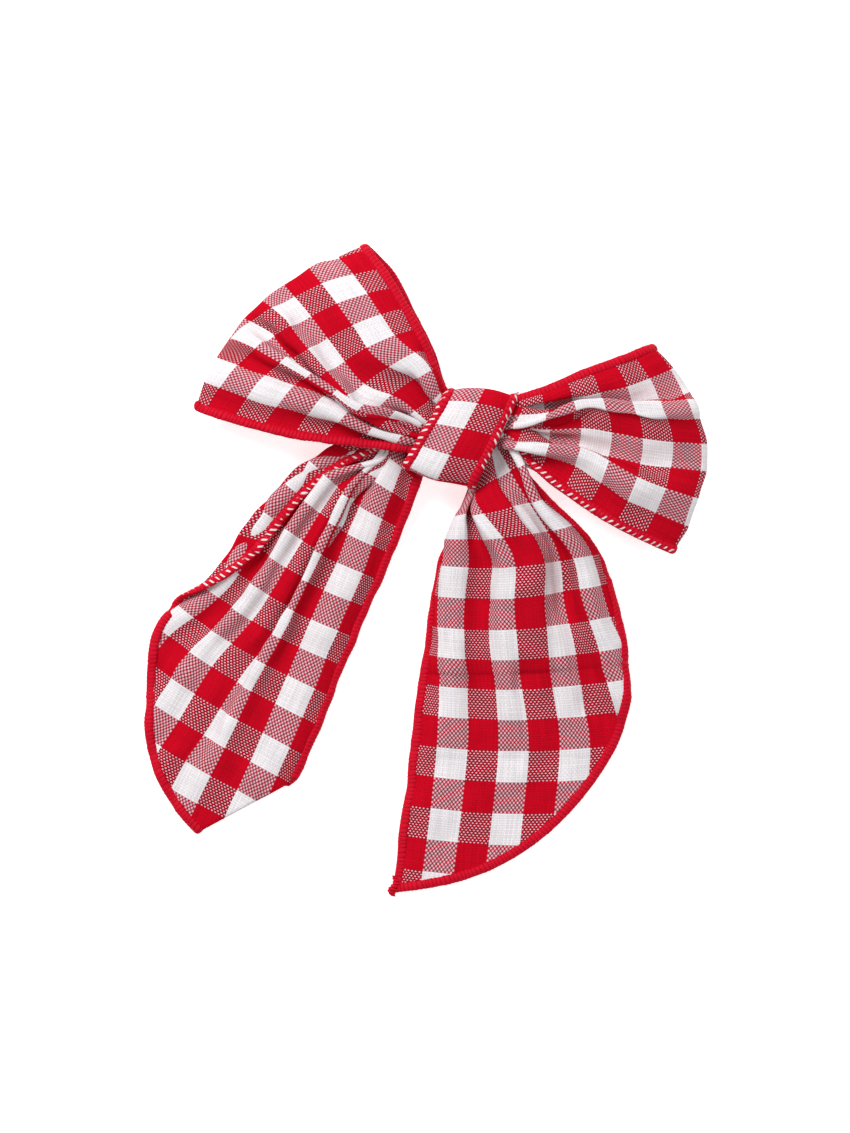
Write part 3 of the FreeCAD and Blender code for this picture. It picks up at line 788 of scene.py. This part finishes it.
# Left loop. Folds here and below are (column, slope) pairs at the waist
LEFT_LOOP_FOLDS = (
    (0, 0.3), (1.5, 0.1), (2.6, -0.5), (3.2, -0.9), (3.5, 0.6), (3.9, 0.9), (4.3, 0.1), (4.7, -0.6),
    (5.9, 0.3), (6.3, 0.9), (6.7, 0.0), (7.2, -0.9), (7.6, 0.0), (8.2, 0.3), (9, -0.3),
)
points, u, v = panel(
    LEFT_LOOP,
    [fading(tuck, 5.2, 0.7, -2.7, 34), arranged(LEFT_LOOP_FOLDS, 40)],
    slack=((0, 0.1), (2.4, 0.2), (3.6, 0.6), (5, 1.0), (7.0, 1.0), (7.6, 0.6), (9, 0.5)),
    near=(-1.0, 1.2, 3.2, 4.3, 5.5, 6.5, 7.5, 9.0),
    crests=(-1.6, 1.6, 4.2, 5.9, 7.6, 9.6),
    looped=True,
)
points = pressed(crinkled(points, u, v, 21))
loop_sheet("left_loop", points, u, v, {"lead": 0.40, "skew": -1.9, "ease": 1.06}, EDGING, 31)

# Right loop, with two deep tucks and a narrow standing ridge between them
points, u, v = panel(
    RIGHT_LOOP,
    [
        fading(tuck, 6.35, 0.75, -2.9, 40),
        fading(ridge, 3.6, 0.3, 1.2, 60),
        fading(tuck, 2.4, 0.8, -2.9, 52),
    ],
    slack=(
        (0, 0.5), (1.0, 0.8), (2.9, 0.8), (3.3, 0.3), (4.9, 0.2), (5.3, 0.8), (6.9, 0.8), (7.3, 0.2),
        (9, 0.2),
    ),
    near=(-0.6, 0.6, 1.8, 3.4, 5.1, 6.1, 7.5, 9.6),
    crests=(-0.9, 0.9, 3.5, 5.2, 7.5, 9.6),
    straight=0.6,
    looped=True,
)
points = pressed(crinkled(points, u, v, 22))
loop_sheet("right_loop", points, u, v, {"lead": 1.60, "skew": -0.8, "ease": 1.03}, DOTTED_EDGING, 33)


def tail_cloth(name, points, u, v, weave, hem_material, seed):
    """The cloth of a tail, and its edging, which goes down the left edge and back up the right."""
    cloth = thickened(grid_mesh(f"{name}_cloth", points, u, woven(u, v, **weave), GINGHAM))
    settle(cloth, [name])
    left_edge, end_edge, right_edge = (edge_path(points, side) for side in ("left", "end", "right"))
    edges = [left_edge, end_edge, tuple(a[::-1] for a in right_edge)]
    hem = oversewn(f"{name}_hem", edges, hem_material, seed)
    settle(hem, [f"{name}_inner_edging", f"{name}_outer_edging"])
    return cloth, hem


# Left tail: its outer edge is rolled over near the loop, and its point is turned under
points, u, v = panel(
    LEFT_TAIL,
    [
        fading(tuck, 5.3, 0.6, -2.7, 84),
        fading(tuck, 3.2, 0.4, 1.0, 40),
        curled(CHECKS_ACROSS, 1.0, 1.3, 1.2, 50),
    ],
    slack=((0, 0.5), (2, 1.0), (5.5, 1.0), (6.5, 0.7), (7.5, 0.4), (9, 0.3)),
    near=(-0.6, 0.9, 2.2, 3.3, 4.5, 5.9, 7.6, 9.4),
    crests=(-0.6, 1.6, 3.3, 4.5, 5.8, 7.6, 9.5),
    straight=0.8,
    roll=LEFT_TAIL_ROLL,
    roll_from=ROLLED,
)
points, v = trimmed(points, u, v, LEFT_TAIL_LENGTH, pointed_right=True)
points = above_floor(crinkled(points, u, v, 23, still=2.0))
weave = {"lead": 1.53, "skew": -0.5, "ease": 0.97}
UNDER_FOLD = 1.1  # how far the tail's end is raised, to leave room for the part turned under it
RAISED_FROM, RAISED_OVER = 7.2, 6.0  # checks along the strip
FOLD_LINE = (seen(-56.0, -84.4, 0), seen(-34.4, -72.8, 0))
FOLD_RADIUS = 0.42
points[..., 2] += UNDER_FOLD * np.clip((woven(u, v, **weave) - RAISED_FROM) / RAISED_OVER, 0, 1)
points = folded_under(points, *FOLD_LINE, FOLD_RADIUS)
left_tail, left_tail_hem = tail_cloth("left_tail", points, u, v, weave, DOTTED_EDGING, 35)

# Right tail: a straight inner edge down to its point, and a curved outer edge
RIGHT_TAIL_FOLDS = (
    (0, 1.3), (0.9, 1.3), (1.1, 0.7), (1.5, 0.1), (1.9, -0.9), (2.4, -1.1), (2.7, -0.2), (3.0, 0.9),
    (3.6, 1.1), (4.0, 0.4), (4.2, 0.0), (4.9, -0.1), (5.1, -1.0), (5.6, -1.1), (7.0, 0.7),
    (7.4, 0.2), (7.9, -0.7), (8.3, -1.0), (9, -1.2),
)
points, u, v = panel(
    RIGHT_TAIL,
    [
        fading(tuck, 6.4, 0.6, -2.8, 58),
        arranged(RIGHT_TAIL_FOLDS, 48),
        curled(0, 1.0, 0.5, 0.8, 60),
        curled(CHECKS_ACROSS, 1.0, 1.3, 0.4, 50),
    ],
    slack=(
        (0, 1.0), (0.9, 1.0), (1.3, 0.5), (2.0, 1.0), (3.9, 1.0), (4.2, 0.15), (4.9, 0.15), (5.2, 1.0),
        (7.0, 1.0), (8.0, 0.5), (9, 0.4),
    ),
    near=(-0.4, 1.5, 4.5, 6.1, 7.4, 9.3),
    crests=(-0.7, 1.5, 3.5, 4.6, 5.6, 7.4, 9.5),
    straight=0.8,
)
points, v = trimmed(points, u, v, RIGHT_TAIL_LENGTH, pointed_right=False)
points = above_floor(crinkled(points, u, v, 24, still=2.0))
weave = {"lead": 0.60, "skew": -0.6, "ease": 0.97}
right_tail, right_tail_hem = tail_cloth("right_tail", points, u, v, weave, EDGING, 36)

# The twisted ends of its edging thread, at its tip
NUB_HEIGHT = 1.1  # of its middle
NUB_START, NUB_LENGTH = -0.6, 4.2
NUB_RADIUS = 0.95
NUB_TURNS = 6.5
NUB_SWAY, NUB_ASIDE = 0.45, -0.3  # how far it winds, and how far beside the edge it lies
NUB_THIN, NUB_LOBES = 0.82, 0.3  # its size between two turns, and what a turn adds
TIP_ROWS = 20  # mesh rows that give the direction of the edge at the tip
share = np.linspace(0, 1, 60)
tip = np.array([points[-1, 0, 0], points[-1, 0, 1], NUB_HEIGHT])
back = unit(points[-TIP_ROWS, 0] - points[-1, 0])
aside = np.array([-back[1], back[0], 0.0])
path = tip + back * (NUB_LENGTH * share + NUB_START)[:, None]
path = path + aside * (NUB_SWAY * np.sin(7 * share) + NUB_ASIDE)[:, None]
theta = np.linspace(0, 2 * math.pi, HEM_SIDES, endpoint=False)
turns = NUB_TURNS * share[:, None] + theta[None, :] / (2 * math.pi)
radius = NUB_RADIUS * np.sin(math.pi * (0.08 + 0.84 * share))[:, None] ** 0.5  # thin at both ends
radius = radius * (NUB_THIN + NUB_LOBES * np.abs(np.sin(math.pi * turns)))
ring = around_ring(aside[None, :], np.array([[0.0, 0.0, 1.0]]), theta)
nub = path[:, None] + radius[..., None] * ring
right_tail_nub = tube_mesh("right_tail_thread_end", nub, turns, 0 * turns, EDGING)
settle(right_tail_nub, [])

# ---------------------------------------------------------------- waist, thread and wrap

WRAP_HALF = 7.0  # half the wrap's width, with its edging
WRAP_COLUMNS = 61
WRAP_ROWS = 220
WRAP_TOP, WRAP_DOME = 14.7, 1.3  # its height along its middle, and how much lower its edges are
WRAP_BOTTOM = 6.0
WRAP_DIP, DIP_REACH = 1.0, 4.2  # how much lower its underside is round the clip, and how far out
WRAP_LOW = (-14.0, 1.2, 1.4)  # its lowest y: in the middle, change towards the right, and to both sides
WRAP_HIGH = (6.9, 2.4, -1.4)  # its highest y
WRAP_SLANT = 1.4  # how far its left edge leans out at its lower end
WRAP_SHIFT = 0.4  # of its middle, along the clip
WRAP_EASE, WRAP_LEAD = 1.12, 0.45  # where its rows of checks fall
WRAP_MIDDLE_COLUMN = 2  # the boundary of two checks runs down its middle


def ring_point(angle, y_low, y_high, z_low, z_high, power=0.62):
    """A point of a rounded box in the plane across the clip, at an angle that starts at its top.

    The lower the power, the squarer its corners.
    """
    c, s = np.cos(angle), np.sin(angle)
    y = (y_high + y_low) / 2 + (y_high - y_low) / 2 * np.sign(s) * np.abs(s) ** power
    z = (z_high + z_low) / 2 + (z_high - z_low) / 2 * np.sign(c) * np.abs(c) ** power
    return y, z


def wrap_span(side):
    """The wrap's lowest and highest y, from its left edge (side -1) to its right edge (side 1)."""
    return tuple(a + b * side + c * side**2 for a, b, c in (WRAP_LOW, WRAP_HIGH))


def wrap_surface():
    """The wrap's cloth: domed over the waist, and dipping round the clip's arm on its underside."""
    side = np.linspace(-1, 1, WRAP_COLUMNS)[None, :]
    y_low, y_high = wrap_span(side)
    angle = math.pi + np.linspace(0, 2 * math.pi, WRAP_ROWS)[:, None]
    y, z = ring_point(angle, y_low, y_high, WRAP_BOTTOM, WRAP_TOP - WRAP_DOME * side**2)
    z = z - WRAP_DIP * np.exp(-((y / DIP_REACH) ** 4)) * (np.cos(angle) < 0)
    low_side = np.clip((y_high - y) / (y_high - y_low), 0, 1)
    x = side * WRAP_HALF - WRAP_SLANT * low_side * (1 - side) / 2 + WRAP_SHIFT
    return np.stack([x + 0 * y, y, z], axis=-1)


points = wrap_surface()
steps = np.linalg.norm(np.diff(points, axis=0), axis=2).mean(1)
round_it = WRAP_EASE * np.concatenate([[0], np.cumsum(steps)])[:, None] / CHECK + WRAP_LEAD
across_it = WRAP_MIDDLE_COLUMN + np.linspace(-WRAP_HALF, WRAP_HALF, WRAP_COLUMNS)[None, :] / CHECK
u, v = across_it + 0 * round_it, round_it + 0 * across_it
points = crinkled(points, u, v, 41, size=0.12)
points[-1] = points[0]
wrap = thickened(grid_mesh("centre_wrap_cloth", points, u, v, GINGHAM))
settle(wrap, ["centre_wrap"])
wrap_left = oversewn("centre_wrap_left_hem", [edge_path(points, "left")], DOTTED_EDGING, 37)
settle(wrap_left, ["centre_wrap_left_edging"])
wrap_right = oversewn("centre_wrap_right_hem", [edge_path(points, "right")], DOTTED_EDGING, 38)
settle(wrap_right, ["centre_wrap_right_edging"])

# The gathered strip inside the wrap, and the thread wound round it
WAIST_ROWS, WAIST_INSET, WAIST_MARGIN = 30, 0.6, 1.4
low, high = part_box("gathered_waist")
waist_rows = np.linspace(low.x / MM + WAIST_INSET, high.x / MM - WAIST_INSET, WAIST_ROWS)
u_line = np.linspace(0, CHECKS_ACROSS, CHECKS_ACROSS * COLUMNS_PER_CHECK + 1)
waist_low, waist_high = wrap_span(waist_rows / WRAP_HALF)
waist_low = np.maximum(waist_low, low.y / MM) + WAIST_MARGIN
waist_high = np.minimum(waist_high, high.y / MM) - WAIST_MARGIN
x, h = fit_sections(
    np.zeros((len(waist_rows), len(u_line))),
    waves(u_line, count=10, seed=2)[None, :],
    waist_high - waist_low,
    u_line[1] * CHECK,
)
points = np.stack(
    [
        np.repeat(waist_rows[:, None], len(u_line), 1),
        waist_high[:, None] - x,
        (low.z + high.z) / 2 / MM + h - h.mean(),
    ],
    axis=-1,
)
u = np.broadcast_to(u_line, points.shape[:2]).copy()
v = np.repeat((waist_rows / CHECK)[:, None], len(u_line), 1)
waist = thickened(grid_mesh("gathered_waist_cloth", points, u, v, GINGHAM))
settle(waist, ["gathered_waist"])

low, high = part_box("gathering_thread")
THREAD_TURNS, THREAD_RADIUS, THREAD_MARGIN = 9, 0.15, 0.8
THREAD_SIDES, THREAD_RINGS = 8, 72  # rings a turn
angle = np.linspace(0, 2 * math.pi * THREAD_TURNS, THREAD_TURNS * THREAD_RINGS)
x = np.linspace(low.x / MM + THREAD_RADIUS, high.x / MM - THREAD_RADIUS, len(angle))
wrap_low, wrap_high = wrap_span(x / WRAP_HALF)
y, z = ring_point(
    angle,
    np.maximum(low.y / MM + THREAD_RADIUS, wrap_low + THREAD_MARGIN),
    np.minimum(high.y / MM - THREAD_RADIUS, wrap_high - THREAD_MARGIN),
    low.z / MM + THREAD_RADIUS,
    high.z / MM - THREAD_RADIUS,
    0.5,
)
path = np.stack([x, y, z], axis=1)
tangent = unit(np.gradient(path, axis=0))
first = unit(np.cross(tangent, [1.0, 0, 0]))
second = np.cross(tangent, first)
theta = np.linspace(0, 2 * math.pi, THREAD_SIDES, endpoint=False)
points = path[:, None] + THREAD_RADIUS * around_ring(first, second, theta)
run = run_along(path)
thread = tube_mesh(
    "gathering_thread_turns",
    points,
    np.broadcast_to(run[:, None], points.shape[:2]),
    np.broadcast_to(theta[None, :] / (2 * math.pi), points.shape[:2]),
    plain_thread(),
)
settle(thread, ["gathering_thread"])

# ---------------------------------------------------------------- the clip keeps its CAD shapes

STEEL = clip_steel("clip_steel", (0.50, 0.50, 0.52, 1), (0.78, 0.78, 0.80, 1), 0.24)
SPRING_STEEL = clip_steel("spring_steel", (0.36, 0.36, 0.38, 1), (0.62, 0.62, 0.65, 1), 0.3)
for node, material in (
    ("clip_upper_arm", STEEL),
    ("clip_lower_arm", STEEL),
    ("clip_hinge_pin", STEEL),
    ("clip_spring", SPRING_STEEL),
    ("glue_pad", hot_melt()),
):
    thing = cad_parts[node]
    for material_slot in thing.material_slots:
        material_slot.material = material

# ---------------------------------------------------------------- table, light and camera


FLOOR_SIZE, FLOOR_LEVEL, FLOOR_GLOW = 4, -0.0002, 0.62  # metres, metres, emission
WORLD_LIGHT = 0.36
AIM = (0.005, -0.03, 0.0)  # what the lamps point at


def plain_floor():
    """A floor bright enough to be white in the picture."""
    m = Nodes("floor")
    m.surface(
        Base_Color=(0.95, 0.95, 0.95, 1),
        Emission_Color=(1, 1, 1, 1),
        Emission_Strength=FLOOR_GLOW,
        Roughness=0.9,
        Specular_IOR_Level=0.0,
    )
    return m.material


bpy.ops.mesh.primitive_plane_add(size=FLOOR_SIZE, location=(0, 0, FLOOR_LEVEL))
floor = bpy.context.object
floor.name = "floor"
floor.data.materials.append(plain_floor())

scene = bpy.context.scene
world = bpy.data.worlds.new("studio")
scene.world = world
world.use_nodes = True
world.node_tree.nodes["Background"].inputs["Color"].default_value = (1, 0.99, 0.985, 1)
world.node_tree.nodes["Background"].inputs["Strength"].default_value = WORLD_LIGHT


def softbox(name, place, size, power):
    """A square lamp, in metres and watts."""
    lamp = bpy.data.lights.new(name, "AREA")
    lamp.shape = "SQUARE"
    lamp.size = size
    lamp.energy = power
    thing = bpy.data.objects.new(name, lamp)
    thing.location = place
    thing.rotation_euler = Vector(np.subtract(AIM, place)).to_track_quat("-Z", "Y").to_euler()
    scene.collection.objects.link(thing)


def from_view(p, q, z):
    """The same place as seen(), in metres."""
    return tuple(c * MM for c in seen(p, q, z))


softbox("key", from_view(-350, 420, 620), size=0.35, power=5.6)
softbox("fill", from_view(450, -100, 700), size=0.6, power=1.5)

FIELD_HEIGHT = 0.2323  # metres that the picture's height covers at the bow
PICTURE_MIDDLE = (-8.8, -30.0, 5.0)
LENS, SENSOR = 100.0, 36.0
camera_data = bpy.data.cameras.new("camera")
camera_data.lens = LENS
camera_data.sensor_width = SENSOR
camera_data.clip_start = 0.01
camera = bpy.data.objects.new("camera", camera_data)
centre = from_view(*PICTURE_MIDDLE)
camera.location = (centre[0], centre[1], centre[2] + FIELD_HEIGHT * LENS / SENSOR)
camera.rotation_euler = (0, 0, VIEW_TURN)
scene.collection.objects.link(camera)
scene.camera = camera
scene.view_settings.view_transform = "Standard"
